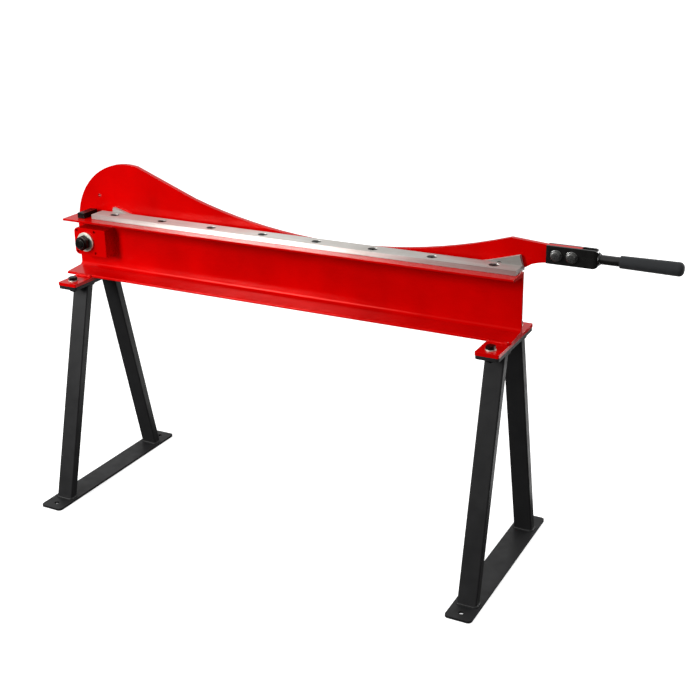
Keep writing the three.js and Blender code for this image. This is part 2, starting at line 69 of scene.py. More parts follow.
def grain(material, place, size, detail=2.0, stretch=(1, 1, 1), roughness=0.5):
    """A noise of a given size in metres, drawn out along an axis by the stretch."""
    nodes, links = material.node_tree.nodes, material.node_tree.links
    turn = nodes.new("ShaderNodeMapping")
    turn.inputs["Scale"].default_value = [1 / s for s in stretch]
    links.new(place, turn.inputs["Vector"])
    noise = nodes.new("ShaderNodeTexNoise")
    noise.inputs["Scale"].default_value = 1 / size
    noise.inputs["Detail"].default_value = detail
    noise.inputs["Roughness"].default_value = roughness
    links.new(turn.outputs["Vector"], noise.inputs["Vector"])
    return noise.outputs["Fac"]


def graded(material, source, low, high, start=0.3, end=0.7):
    """The source's values from start to end, spread over low to high."""
    nodes, links = material.node_tree.nodes, material.node_tree.links
    scale = nodes.new("ShaderNodeMapRange")
    for socket, value in (("From Min", start), ("From Max", end), ("To Min", low), ("To Max", high)):
        scale.inputs[socket].default_value = value
    links.new(source, scale.inputs["Value"])
    return scale.outputs["Result"]


def blended(material, share, first, second):
    """One colour turning into another; either may be a plain colour or another node's output."""
    nodes, links = material.node_tree.nodes, material.node_tree.links
    mix = nodes.new("ShaderNodeMix")
    mix.data_type = "RGBA"
    links.new(share, mix.inputs["Factor"])
    for socket, colour in (("A", first), ("B", second)):
        target = next(s for s in mix.inputs if s.name == socket and s.type == "RGBA")
        if isinstance(colour, tuple):
            target.default_value = (*colour, 1)
        else:
            links.new(colour, target)
    return next(s for s in mix.outputs if s.type == "RGBA")


def raised(material, shader, layers):
    """Drives the shader's normal by layers of (height source, strength, depth in metres)."""
    nodes, links = material.node_tree.nodes, material.node_tree.links
    normal = None
    for height, strength, depth in layers:
        bump = nodes.new("ShaderNodeBump")
        bump.inputs["Strength"].default_value = strength
        bump.inputs["Distance"].default_value = depth
        links.new(height, bump.inputs["Height"])
        if normal:
            links.new(normal, bump.inputs["Normal"])
        normal = bump.outputs["Normal"]
    links.new(normal, shader.inputs["Normal"])


def edge_share(material, radius):
    """Where a surface turns an edge within the radius, from 0 on the flat to 1 on the edge."""
    nodes, links = material.node_tree.nodes, material.node_tree.links
    rounded = nodes.new("ShaderNodeBevel")
    rounded.samples = 4
    rounded.inputs["Radius"].default_value = radius
    surface = nodes.new("ShaderNodeNewGeometry")
    match = nodes.new("ShaderNodeVectorMath")
    match.operation = "DOT_PRODUCT"
    links.new(rounded.outputs["Normal"], match.inputs[0])
    links.new(surface.outputs["Normal"], match.inputs[1])
    return graded(material, match.outputs["Value"], 1, 0, 0.75, 0.99)


def red_enamel():
    """Glossy red enamel with a fine orange peel, slightly uneven in depth, painted lighter on its
    edges as a painted highlight.
    """
    material, shader, place = new_finish("red_enamel")
    links = material.node_tree.links
    deep, full, painted_edge_highlight = (0.50, 0.0, 0.0), (0.66, 0.0, 0.0), (0.74, 0.012, 0.008)
    cloud = graded(material, grain(material, place, 0.11, 3), 0, 1)
    colour = blended(material, cloud, deep, full)
    # The lighter red on every edge is a painted highlight: the shine of the lamps along the edges,
    # painted into the colour.
    colour = blended(material, edge_share(material, 0.7 * MM), colour, painted_edge_highlight)
    links.new(colour, shader.inputs["Base Color"])
    smear = grain(material, place, 0.03, 4, (4, 1, 1))
    links.new(graded(material, smear, 0.13, 0.25), shader.inputs["Roughness"])
    peel = grain(material, place, 2.6 * MM, 1)
    dust = grain(material, place, 0.9 * MM, 2)
    raised(material, shader, [(peel, 0.10, 0.3 * MM), (dust, 0.05, 0.1 * MM)])
    shader.inputs["IOR"].default_value = 1.5
    shader.inputs["Specular Tint"].default_value = (1.0, 0.10, 0.08, 1)
    return material


def soften(node, width, material, segments=2):
    """Breaks a frame node's hard edges and gives it its finish. Its own mesh stays as it is."""
    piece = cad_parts[node]
    weld = piece.modifiers.new("joined_corners", "WELD")
    weld.merge_threshold = 1e-5
    flat = piece.modifiers.new("flat_faces", "DECIMATE")
    flat.decimate_type = "DISSOLVE"
    flat.angle_limit = math.radians(0.4)
    edge = piece.modifiers.new("broken_edges", "BEVEL")
    edge.width = width
    edge.segments = segments
    edge.limit_method = "ANGLE"
    edge.angle_limit = math.radians(35)
    even = piece.modifiers.new("even_shading", "WEIGHTED_NORMAL")
    even.keep_sharp = False
    piece.material_slots[0].material = material
    return piece


RED = red_enamel()
soften("bed_channel", 0.9 * MM, RED, 3)

# ---------------------------------------------------------------- weld beads on the bed
# Fillet welds run along both edges of the channel where it lies on the mounting bars, and
# round the pivot block where it meets the web. They are sprayed over with the bed.


def finished(bm, name, body, material, stands_for=(), sharp=32):
    for face in bm.faces:
        face.smooth = True
    for edge in bm.edges:
        edge.smooth = not edge.is_manifold or edge.calc_face_angle(0) < math.radians(sharp)
    mesh = bpy.data.meshes.new(name)
    bm.to_mesh(mesh)
    bm.free()
    piece = bpy.data.objects.new(name, mesh)
    bpy.context.scene.collection.objects.link(piece)
    mesh.materials.append(material)
    even = piece.modifiers.new("even_shading", "WEIGHTED_NORMAL")
    even.keep_sharp = True
    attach(piece, body)
    if stands_for:
        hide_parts(*stands_for)
    return piece


def straight_run(start, end, step=0.6 * MM):
    """Points along a line, for a bead."""
    start, end = Vector(start), Vector(end)
    count = max(4, round((end - start).length / step))
    return [start.lerp(end, i / count) for i in range(count + 1)]


def bead(bm, route, across, radius, ripple=1.9 * MM, closed=False):
    """Lays a rippled weld bead along a route that lies in the plane square to across."""
    across = Vector(across)
    last = len(route) - 1
    travelled = 0
    ring = bmesh.ops.create_circle(bm, cap_ends=not closed, segments=10, radius=1)["verts"]
    first_ring = list(ring)
    before = Matrix.Identity(4)
    for i, point in enumerate(route):
        along = (route[(i + 1) % len(route)] if closed or i < last else point)
        along = (along - (route[i - 1] if closed or i else point)).normalized()
        travelled += (point - route[i - 1]).length if i else 0
        phase = (travelled / ripple) % 1
        swell = 1 + 0.13 * (phase - 0.5) + draw.uniform(-0.02, 0.02)
        if not closed:
            swell *= min(1, 0.55 + 0.45 * min(i, last - i) / 4)
        axes = Matrix((across, along.cross(across), along)).transposed().to_4x4()
        here = Matrix.Translation(point) @ axes @ Matrix.Scale(radius * swell, 4)
        if i:
            edges = [e for e in {e for v in ring for e in v.link_edges} if set(e.verts) <= set(ring)]
            made = bmesh.ops.extrude_edge_only(bm, edges=edges)["geom"]
            ring = [g for g in made if isinstance(g, bmesh.types.BMVert)]
        bmesh.ops.transform(bm, matrix=here @ before.inverted(), verts=ring)
        before = here
    edges = [e for e in {e for v in ring for e in v.link_edges} if set(e.verts) <= set(ring)]
    if closed:
        start = [e for e in {e for v in first_ring for e in v.link_edges}
                 if set(e.verts) <= set(first_ring)]
        bmesh.ops.bridge_loops(bm, edges=edges + start)
    else:
        bmesh.ops.holes_fill(bm, edges=edges)


draw = random.Random(7)
bed_low, bed_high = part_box("bed_channel")
beads = bmesh.new()
for side in ("left", "right"):
    bar_low, bar_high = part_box(f"{side}_mount_bar")
    left, right = bar_low.x + 2 * MM, min(bar_high.x, bed_high.x) - 2 * MM
    for y in (bed_low.y, bed_high.y):
        run = straight_run((left, y, bar_high.z + 1 * MM), (right, y, bar_high.z + 1 * MM))
        bead(beads, run, (0, 0, 1), 4.6 * MM)
block_low, block_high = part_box("pivot_block")
web_front = block_high.y + 0.3 * MM
for start, end in (((block_low.x + 14 * MM, block_low.z), (block_high.x, block_low.z)),
                   ((block_high.x, block_low.z), (block_high.x, block_high.z)),
                   ((block_high.x, block_high.z), (block_low.x + 14 * MM, block_high.z))):
    run = straight_run((start[0], web_front, start[1]), (end[0], web_front, end[1]))
    bead(beads, run, (0, 1, 0), 2.6 * MM)
bmesh.ops.recalc_face_normals(beads, faces=beads.faces)
finished(beads, "bed_weld_beads", "frame", RED, sharp=60)

# ---------------------------------------------------------------- lower blade and side stop
# The blade is a flat bar of hardened tool steel, ground along its length on every face, and
# screwed down on the top flange. The stop is a short blackened bar that squares the sheet.


def ground_steel():
    """Tool steel with fine grinding lines along X and faint stains from handling."""
    material, shader, place = new_finish("ground_steel")
    links = material.node_tree.links
    lines = grain(material, place, 0.35 * MM, 1, (300, 1, 1))
    bands = grain(material, place, 4 * MM, 3, (60, 1, 1))
    stain = graded(material, grain(material, place, 0.05, 4), 0, 1, 0.42, 0.66)
    colour = blended(material, graded(material, bands, 0, 1), (0.44, 0.42, 0.395), (0.54, 0.52, 0.495))
    colour = blended(material, graded(material, stain, 0, 0.35, 0, 1), colour, (0.34, 0.31, 0.28))
    links.new(colour, shader.inputs["Base Color"])
    links.new(graded(material, lines, 0.37, 0.44), shader.inputs["Roughness"])
    raised(material, shader, [(lines, 0.12, 0.05 * MM)])
    across = material.node_tree.nodes.new("ShaderNodeTangent")
    across.direction_type = "RADIAL"
    across.axis = "X"
    links.new(across.outputs["Tangent"], shader.inputs["Tangent"])
    shader.inputs["Anisotropic"].default_value = 0.94
    shader.inputs["Metallic"].default_value = 1.0
    return material


def black_oxide():
    """Oiled black oxide on turned steel, worn a little brighter on its edges."""
    material, shader, place = new_finish("black_oxide")
    links = material.node_tree.links
    cloud = graded(material, grain(material, place, 3 * MM, 4), 0, 1)
    colour = blended(material, cloud, (0.014, 0.013, 0.012), (0.028, 0.026, 0.024))
    colour = blended(material, edge_share(material, 0.35 * MM), colour, (0.16, 0.15, 0.135))
    links.new(colour, shader.inputs["Base Color"])
    marks = grain(material, place, 0.6 * MM, 3)
    links.new(graded(material, marks, 0.26, 0.46), shader.inputs["Roughness"])
    raised(material, shader, [(marks, 0.12, 0.06 * MM)])
    shader.inputs["Metallic"].default_value = 1.0
    return material


STEEL = ground_steel()
OXIDE = black_oxide()
soften("lower_blade", 0.25 * MM, STEEL)
soften("side_stop", 0.6 * MM, OXIDE)

# ---------------------------------------------------------------- blade screws
# Countersunk socket screws of blackened steel hold both blades. They sit a little under the
# ground face, and on the arm their tips stand out behind the plate.


def turned(profile, steps=48, ring=False):
    """A solid turned about Z from (radius, height) pairs, from axis to axis or in a ring."""
    bm = bmesh.new()
    points = [bm.verts.new((radius, 0, height)) for radius, height in profile]
    followed = points[1:] + points[:1] if ring else points[1:]
    edges = [bm.edges.new(pair) for pair in zip(points, followed)]
    bmesh.ops.spin(bm, geom=points + edges, cent=(0, 0, 0), axis=(0, 0, 1), dvec=(0, 0, 0),
                   angle=2 * math.pi, steps=steps, use_merge=True)
    bmesh.ops.remove_doubles(bm, verts=bm.verts, dist=1e-7)
    bmesh.ops.recalc_face_normals(bm, faces=bm.faces)
    return bm


def six_sided(bm, radius, flats, crown=0, sloped=()):
    """Moves the turned rings of one radius onto a hexagon whose flats face X. Rings at the
    sloped heights, given with +1 or -1 for the way in, fall away from the crown at 30 degrees."""
    for v in bm.verts:
        reach = math.hypot(v.co.x, v.co.y)
        if abs(reach - radius) > 1e-6:
            continue
        turn = (math.atan2(v.co.y, v.co.x) + math.pi / 6) % (math.pi / 3) - math.pi / 6
        side = flats / 2 / math.cos(turn)
        v.co.x *= side / reach
        v.co.y *= side / reach
        for height, way in sloped:
            if abs(v.co.z - height) < 1e-6:
                v.co.z += way * (side - crown) * math.tan(math.pi / 6)


UP = Matrix.Identity(4)
TO_FRONT = Matrix.Rotation(math.pi / 2, 4, "X")
TO_REAR = Matrix.Rotation(-math.pi / 2, 4, "X")
TO_RIGHT = Matrix.Rotation(math.pi / 2, 4, "Y")


def length_along(low, high, facing):
    """A box's length in the given direction."""
    return (high.z - low.z) if facing is UP else (high.y - low.y)


def outer_face(low, high, facing):
    """The middle of the side of a box that faces the given way."""
    middle = (low + high) / 2
    if facing is UP:
        return Vector((middle.x, middle.y, high.z))
    return Vector((middle.x, low.y if facing is TO_FRONT else high.y, middle.z))


def thread(bm, radius, pitch, low, high, steps=24):
    """Adds a helical thread ridge round Z, from low to high."""
    turns = max(1, round((high - low) / pitch))
    root = radius - 0.7 * pitch
    section = [(root, 0), (radius, 0.42), (radius, 0.56), (root, 0.98)]
    points = [bm.verts.new((r, 0, low + share * pitch)) for r, share in section]
    face = bm.faces.new(points)
    bmesh.ops.spin(bm, geom=[face, *face.edges, *points], cent=(0, 0, 0), axis=(0, 0, 1),
                   dvec=(0, 0, pitch / steps), angle=2 * math.pi * (turns - 1),
                   steps=steps * (turns - 1))
    bmesh.ops.recalc_face_normals(bm, faces=bm.faces)


def recess_shade_black():
    """Dull, near black oxide for the blade screws, darkened as painted shade of the countersunk
    recesses they sit in.
    """
    material, shader, place = new_finish("recess_shade_black")
    links = material.node_tree.links
    cloud = graded(material, grain(material, place, 2 * MM, 4), 0, 1)
    # Near black all over: painted shade that stands for the dark recess round each screw head.
    links.new(blended(material, cloud, (0.006, 0.0055, 0.005), (0.014, 0.013, 0.012)),
              shader.inputs["Base Color"])
    grit = grain(material, place, 0.5 * MM, 3)
    links.new(graded(material, grit, 0.45, 0.65), shader.inputs["Roughness"])
    raised(material, shader, [(grit, 0.2, 0.08 * MM)])
    return material


RECESS_SHADE_BLACK = recess_shade_black()


def countersunk_screw(node, facing, body):
    """An M10 screw whose head faces the given way at its node's place."""
    low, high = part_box(node)
    head, shank, land, socket, depth = 10 * MM, 5 * MM, 0.6 * MM, 3.4 * MM, 4.2 * MM
    length = length_along(low, high, facing)
    bm = turned([(0, -depth), (socket, -depth), (socket, -0.3 * MM), (socket + 0.3 * MM, 0),
                 (head - 0.2 * MM, 0), (head, -0.2 * MM), (head, -land),
                 (shank, shank - head - land), (shank, 0.6 * MM - length),
                 (shank - 0.6 * MM, -length), (0, -length)])
    six_sided(bm, socket, 6 * MM)
    bm.transform(Matrix.Translation(outer_face(low, high, facing)) @ facing)
    # The screws take the near black painted shade of their recesses.
    finished(bm, f"{node}_socket_head", body, RECESS_SHADE_BLACK, [node])


for number in range(1, 9):
    countersunk_screw(f"lower_blade_screw_{number}", UP, "frame")
    countersunk_screw(f"upper_blade_screw_{number}", TO_FRONT, "arm")

# ---------------------------------------------------------------- pivot
# A thick steel block welded inside the channel backs the web. A hexagon bolt comes through
# from behind the arm. A locking nut on a zinc plated washer sets the arm's play, and a nylon
# ring in the nut's round collar grips the thread.


def zinc_plate():
    """Dull zinc with a faint yellow passivation and small scuffs."""
    material, shader, place = new_finish("zinc_plate")
    links = material.node_tree.links
    cloud = graded(material, grain(material, place, 6 * MM, 4), 0, 1)
    colour = blended(material, cloud, (0.68, 0.70, 0.62), (0.80, 0.79, 0.69))
    links.new(colour, shader.inputs["Base Color"])
    marks = grain(material, place, 0.8 * MM, 4)
    links.new(graded(material, marks, 0.42, 0.60), shader.inputs["Roughness"])
    raised(material, shader, [(marks, 0.15, 0.06 * MM)])
    shader.inputs["Metallic"].default_value = 1.0
    return material


def bearing_bronze():
    """Turned bronze, with rings from the lathe round Y."""
    material, shader, place = new_finish("bronze")
    links = material.node_tree.links
    rings = grain(material, place, 0.5 * MM, 2, (20, 1, 20))
    links.new(blended(material, rings, (0.38, 0.22, 0.08), (0.52, 0.33, 0.14)),
              shader.inputs["Base Color"])
    links.new(graded(material, rings, 0.25, 0.4), shader.inputs["Roughness"])
    raised(material, shader, [(rings, 0.1, 0.05 * MM)])
    shader.inputs["Metallic"].default_value = 1.0
    return material


ZINC = zinc_plate()
BRONZE = bearing_bronze()
CROWN_SHARE = 0.475        # of a hexagon's width over its flats, the radius of its flat crown


def middle_of(node):
    """A node's lowest corner, middle and highest corner."""
    low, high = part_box(node)
    return low, (low + high) / 2, high


def hex_bolt(node, facing, body, size, head, pitch, threaded, material=None):
    """A hexagon bolt with its head towards facing and threads on the end of its shank."""
    low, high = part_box(node)
    flats = high.x - low.x
    corner, crown = flats / math.sqrt(3), CROWN_SHARE * flats
    shank = length_along(low, high, facing) - head
    core = size - 0.62 * pitch
    bm = turned([(0, head), (crown, head), (corner, head), (corner, 0.4 * MM), (corner, 0),
                 (0.92 * crown, 0), (0.92 * crown, -0.2 * MM), (size, -0.2 * MM),
                 (size, threaded - shank), (core, threaded - shank - 0.5 * MM),
                 (core, 0.8 * MM - shank), (core - 0.8 * MM, -shank), (0, -shank)])
    six_sided(bm, corner, flats, crown, [(head, -1)])
    thread(bm, size, pitch, 0.9 * MM - shank, threaded - shank)
    under_head = outer_face(low, high, facing) - facing @ Vector((0, 0, head))
    bm.transform(Matrix.Translation(under_head) @ facing)
    finished(bm, f"{node}_hex_head", body, material or OXIDE, [node])


def hex_nut(node, facing, body, size):
    """A hexagon nut, chamfered on both faces and round its hole."""
    low, middle, high = middle_of(node)
    flats = high.x - low.x
    corner, crown, lip = flats / math.sqrt(3), CROWN_SHARE * flats, 0.8 * MM
    half = length_along(low, high, facing) / 2
    bm = turned([(size, lip - half), (size + lip, -half), (crown, -half), (corner, -half),
                 (corner, half), (crown, half), (size + lip, half), (size, half - lip)], ring=True)
    six_sided(bm, corner, flats, crown, [(half, -1), (-half, 1)])
    bm.transform(Matrix.Translation(middle) @ facing)
    finished(bm, f"{node}_chamfered", body, OXIDE, [node])


def flat_washer(node, facing, body, size, material, edge=0.35 * MM):
    """A stamped washer, one edge rounded by the punch."""
    low, middle, high = middle_of(node)
    radius, half = (high.x - low.x) / 2, length_along(low, high, facing) / 2
    bm = turned([(size, -half), (radius - 0.15 * MM, -half), (radius, 0.15 * MM - half),
                 (radius, half - edge), (radius - 0.3 * edge, half - 0.3 * edge),
                 (radius - edge, half), (size + edge, half), (size, half - edge)],
                steps=64, ring=True)
    bm.transform(Matrix.Translation(middle) @ facing)
    finished(bm, f"{node}_stamped", body, material, [node])


soften("pivot_block", 0.8 * MM, RED)
flat_washer("pivot_front_washer", TO_FRONT, "frame", 10.2 * MM, ZINC, 0.8 * MM)
flat_washer("pivot_rear_washer", TO_REAR, "frame", 10.2 * MM, ZINC, 0.8 * MM)
flat_washer("pivot_spacer", TO_REAR, "frame", 10.2 * MM, ZINC)
flat_washer("pivot_bush", TO_REAR, "frame", 10.2 * MM, BRONZE)
hex_bolt("pivot_bolt", TO_REAR, "frame", 9.9 * MM, 12.5 * MM, 2.5 * MM, 26 * MM)

nut_low, nut_middle, nut_high = middle_of("pivot_nut")
nut_flats, nut_length = nut_high.x - nut_low.x, nut_high.y - nut_low.y
nut_corner, nut_crown = nut_flats / math.sqrt(3), 0.48 * nut_flats
bore, collar, collar_height, seat = 10.1 * MM, 12.8 * MM, 5.5 * MM, 11.3 * MM
shoulder = nut_length - collar_height
nut = turned([(bore, 1 * MM), (bore + 1 * MM, 0), (nut_crown, 0), (nut_corner, 0),
              (nut_corner, shoulder), (nut_crown, shoulder), (collar + 0.7 * MM, shoulder),
              (collar, shoulder + 0.7 * MM), (collar, nut_length - 2.4 * MM),
              (collar - 0.25 * MM, nut_length - 1.2 * MM), (collar - 0.9 * MM, nut_length - 0.3 * MM),
              (seat + 0.3 * MM, nut_length), (seat, nut_length - 0.4 * MM), (seat, shoulder),
              (bore, shoulder)], steps=72, ring=True)
six_sided(nut, nut_corner, nut_flats, nut_crown, [(shoulder, -1), (0, 1)])
nut.transform(Matrix.Translation((nut_middle.x, nut_high.y, nut_middle.z)) @ TO_FRONT)
finished(nut, "pivot_locking_nut", "frame", OXIDE, ["pivot_nut"])


def black_nylon():
    """Smooth moulded nylon with the faint drag marks of the thread that cut into it."""
    material, shader, place = new_finish("black_nylon")
    drag = grain(material, place, 1.2 * MM, 2)
    material.node_tree.links.new(graded(material, drag, 0.35, 0.5), shader.inputs["Roughness"])
    material.node_tree.links.new(blended(material, drag, (0.010, 0.010, 0.012), (0.020, 0.020, 0.022)),
                                 shader.inputs["Base Color"])
    raised(material, shader, [(drag, 0.1, 0.1 * MM)])
    return material


insert = turned([(bore, shoulder + 0.2 * MM), (seat - 0.1 * MM, shoulder + 0.2 * MM),
                 (seat - 0.1 * MM, nut_length - 1.0 * MM), (seat - 0.4 * MM, nut_length - 0.7 * MM),
                 (bore + 0.2 * MM, nut_length - 0.7 * MM), (bore, nut_length - 0.9 * MM)], ring=True)
insert.transform(Matrix.Translation((nut_middle.x, nut_high.y, nut_middle.z)) @ TO_FRONT)
finished(insert, "pivot_nut_insert", "frame", black_nylon())

# ---------------------------------------------------------------- arm and upper blade
# The arm is flame cut from 10 mm plate, its edges dressed and the whole sprayed red. The
# upper blade is ground, bowed to its arc and screwed to the arm's front face.

soften("arm_plate", 0.7 * MM, RED)
soften("upper_blade", 0.25 * MM, STEEL)

# ---------------------------------------------------------------- clevis and handle rod
# A flat bar bent into a U takes the arm's tail and is bolted through it. A round bar is
# welded to the bend as the handle. Both are sprayed with glossy black enamel.


def black_zinc():
    """Black zinc plate, its rims painted pale steel as a painted highlight."""
    material, shader, place = new_finish("black_zinc")
    links = material.node_tree.links
    cloud = graded(material, grain(material, place, 2 * MM, 3), 0, 1)
    colour = blended(material, cloud, (0.16, 0.16, 0.155), (0.30, 0.30, 0.29))
    # The pale steel colour on the rims is a painted highlight: the ring of lamp light on the washers
    # and bolt heads, painted into the colour.
    colour = blended(material, edge_share(material, 0.9 * MM), colour, (0.80, 0.79, 0.77))
    links.new(colour, shader.inputs["Base Color"])
    marks = grain(material, place, 0.7 * MM, 3)
    links.new(graded(material, marks, 0.20, 0.36), shader.inputs["Roughness"])
    raised(material, shader, [(marks, 0.12, 0.06 * MM)])
    shader.inputs["Metallic"].default_value = 1.0
    return material


BLACK_ZINC = black_zinc()


def gloss_black():
    """Glossy black enamel over the bent bar, a little wavy, scuffed grey on its corners."""
    material, shader, place = new_finish("gloss_black_enamel")
    links = material.node_tree.links
    cloud = graded(material, grain(material, place, 0.03, 4), 0, 1)
    colour = blended(material, cloud, (0.0045, 0.0042, 0.0040), (0.0085, 0.0080, 0.0075))
    colour = blended(material, edge_share(material, 0.5 * MM), colour, (0.03, 0.029, 0.028))
    links.new(colour, shader.inputs["Base Color"])
    smear = grain(material, place, 0.012, 4)
    links.new(graded(material, smear, 0.14, 0.30), shader.inputs["Roughness"])
    peel = grain(material, place, 2.2 * MM, 2)
    raised(material, shader, [(peel, 0.16, 0.25 * MM)])
    shader.inputs["IOR"].default_value = 1.5
    return material


GLOSS = gloss_black()
clevis_low, clevis_middle, clevis_high = middle_of("clevis")
outer, wall, corner = (clevis_high.y - clevis_low.y) / 2, 5 * MM, 10 * MM
start, bend = clevis_low.x, clevis_high.x - outer
quarter = [math.radians(7.5 * i) for i in range(-12, 13)]
section = [(start, -outer), *((bend + outer * math.cos(a), outer * math.sin(a)) for a in quarter),
           (start, outer), (start, outer - wall),
           *((bend + (outer - wall) * math.cos(a), -(outer - wall) * math.sin(a)) for a in quarter),
           (start, wall - outer)]
clevis = bmesh.new()
corners = [clevis.verts.new((x, clevis_middle.y + y, clevis_low.z)) for x, y in section]
base = clevis.faces.new(corners)
made = bmesh.ops.extrude_face_region(clevis, geom=[base])["geom"]
bmesh.ops.translate(clevis, vec=(0, 0, clevis_high.z - clevis_low.z),
                    verts=[g for g in made if isinstance(g, bmesh.types.BMVert)])
bmesh.ops.recalc_face_normals(clevis, faces=clevis.faces)


def trimmed(bm, spot, normal):
    """Cuts a mesh by a plane, drops what lies beyond and closes the cut."""
    geometry = bm.verts[:] + bm.edges[:] + bm.faces[:]
    cut = bmesh.ops.bisect_plane(bm, geom=geometry, plane_co=spot, plane_no=normal,
                                 clear_outer=True, dist=1e-7)["geom_cut"]
    rim = [g for g in cut if isinstance(g, bmesh.types.BMEdge)]
    if rim:
        bmesh.ops.holes_fill(bm, edges=rim)


for way, level in ((1, clevis_high.z), (-1, clevis_low.z)):
    for step in range(1, 9):
        turn = math.radians(10 * step)
        pin = Vector((clevis_high.x - corner, 0, level - way * corner))
        normal = Vector((math.cos(turn), 0, way * math.sin(turn)))
        trimmed(clevis, pin + normal * corner, normal)
bmesh.ops.recalc_face_normals(clevis, faces=clevis.faces)
sharp = [e for e in clevis.edges if e.is_manifold and e.calc_face_angle(0) > math.radians(50)]
bmesh.ops.bevel(clevis, geom=sharp, offset=1.3 * MM, offset_type="OFFSET", segments=3,
                profile=0.5, affect="EDGES", material=-1, clamp_overlap=True)
finished(clevis, "clevis_bent_bar", "arm", GLOSS, ["clevis"], sharp=40)
for number in (1, 2):
    flat_washer(f"clevis_washer_{number}", TO_FRONT, "arm", 5.3 * MM, BLACK_ZINC,
                0.7 * MM)
    hex_bolt(f"clevis_bolt_{number}", TO_FRONT, "arm", 4.9 * MM, 6.4 * MM, 1.5 * MM, 12 * MM,
             BLACK_ZINC)
    hex_nut(f"clevis_nut_{number}", TO_REAR, "arm", 5 * MM)

rod_low, rod_middle, rod_high = middle_of("handle_rod")
rod_radius = (rod_high.z - rod_low.z) / 2
rod_length = rod_high.x - rod_low.x
rod = turned([(0, 0), (rod_radius, 0), (rod_radius, rod_length - 1 * MM),
              (rod_radius - 1 * MM, rod_length), (0, rod_length)], steps=56)
rod.transform(Matrix.Translation((rod_low.x, rod_middle.y, rod_middle.z)) @ TO_RIGHT)
finished(rod, "handle_round_bar", "arm", GLOSS, ["handle_rod"])

ring_weld = bmesh.new()
turns = [i / 90 * 2 * math.pi for i in range(90)]
bead(ring_weld, [Vector((rod_low.x - 0.3 * MM, rod_middle.y + rod_radius * math.cos(a),
                         rod_middle.z + rod_radius * math.sin(a))) for a in turns],
     (1, 0, 0), 2.6 * MM, closed=True)
bmesh.ops.recalc_face_normals(ring_weld, faces=ring_weld.faces)
finished(ring_weld, "handle_weld_bead", "arm", GLOSS, sharp=60)

# ---------------------------------------------------------------- grip
# A sleeve of dense dark foam rubber, closed and rounded at its end and a little thicker
# there than at its root. It is pushed onto the bar and holds by its own grip.


def grip_foam():
    """Matt dark foam rubber with its fine cells and a rubbed bloom."""
    material, shader, place = new_finish("grip_foam")
    nodes, links = material.node_tree.nodes, material.node_tree.links
    cloud = graded(material, grain(material, place, 0.012, 4), 0, 1)
    cells = nodes.new("ShaderNodeTexVoronoi")
    cells.inputs["Scale"].default_value = 1 / (0.9 * MM)
    links.new(place, cells.inputs["Vector"])
    colour = blended(material, cloud, (0.012, 0.013, 0.0145), (0.021, 0.0225, 0.025))
    links.new(colour, shader.inputs["Base Color"])
    links.new(graded(material, cloud, 0.70, 0.86, 0, 1), shader.inputs["Roughness"])
    skin = grain(material, place, 2.5 * MM, 3)
    raised(material, shader, [(cells.outputs["Distance"], 0.22, 0.2 * MM), (skin, 0.12, 0.3 * MM)])
    shader.inputs["Specular IOR Level"].default_value = 0.35
    shader.inputs["Sheen Weight"].default_value = 0.08
    shader.inputs["Sheen Roughness"].default_value = 0.5
    return material


grip_low, grip_middle, grip_high = middle_of("handle_grip")
grip_length = grip_high.x - grip_low.x
grip_end = (grip_high.z - grip_low.z) / 2
grip_root = grip_end - 1.4 * MM
round_over = 9 * MM
outline = [(rod_radius + 0.1 * MM, 14 * MM), (rod_radius + 0.1 * MM, 0.6 * MM),
           (rod_radius + 0.7 * MM, 0), (grip_root - 1.2 * MM, 0), (grip_root - 0.35 * MM, 0.35 * MM),
           (grip_root, 1.2 * MM)]
outline += [(grip_root + (grip_end - grip_root) * i / 10,
             1.2 * MM + (grip_length - round_over - 1.2 * MM) * i / 10) for i in range(1, 11)]
outline += [(grip_end - round_over + round_over * math.cos(a),
             grip_length - round_over + round_over * math.sin(a))
            for a in (math.radians(9 * i) for i in range(1, 10))]
outline += [(grip_end - round_over, grip_length), (0, grip_length)]
sleeve = turned([(0, 14 * MM), *outline], steps=72)
sleeve.transform(Matrix.Translation((grip_low.x, grip_middle.y, grip_middle.z)) @ TO_RIGHT)
finished(sleeve, "grip_sleeve", "arm", grip_foam(), ["handle_grip"], sharp=50)

# ---------------------------------------------------------------- stands
# Each stand is two rectangular tubes welded between a flat top bar and a long foot bar with
# a floor bolt hole at each end, powder coated in satin black. The red mounting bars above
# them are welded to the bed and bolted down.


def black_powder_coat():
    """Satin black powder coat with its fine peel, rubbed a little where hands and floors touch."""
    material, shader, place = new_finish("black_powder_coat")
    links = material.node_tree.links
    cloud = graded(material, grain(material, place, 0.07, 4), 0, 1)
    colour = blended(material, cloud, (0.0115, 0.0115, 0.0119), (0.0165, 0.0165, 0.0170))
    colour = blended(material, edge_share(material, 0.8 * MM), colour, (0.032, 0.032, 0.034))
    links.new(colour, shader.inputs["Base Color"])
    rub = grain(material, place, 0.02, 4)
    links.new(graded(material, rub, 0.36, 0.50), shader.inputs["Roughness"])
    peel = grain(material, place, 1.5 * MM, 2)
    raised(material, shader, [(peel, 0.14, 0.2 * MM)])
    shader.inputs["IOR"].default_value = 1.5
    shader.inputs["Specular IOR Level"].default_value = 0.2
    return material


BLACK = black_powder_coat()


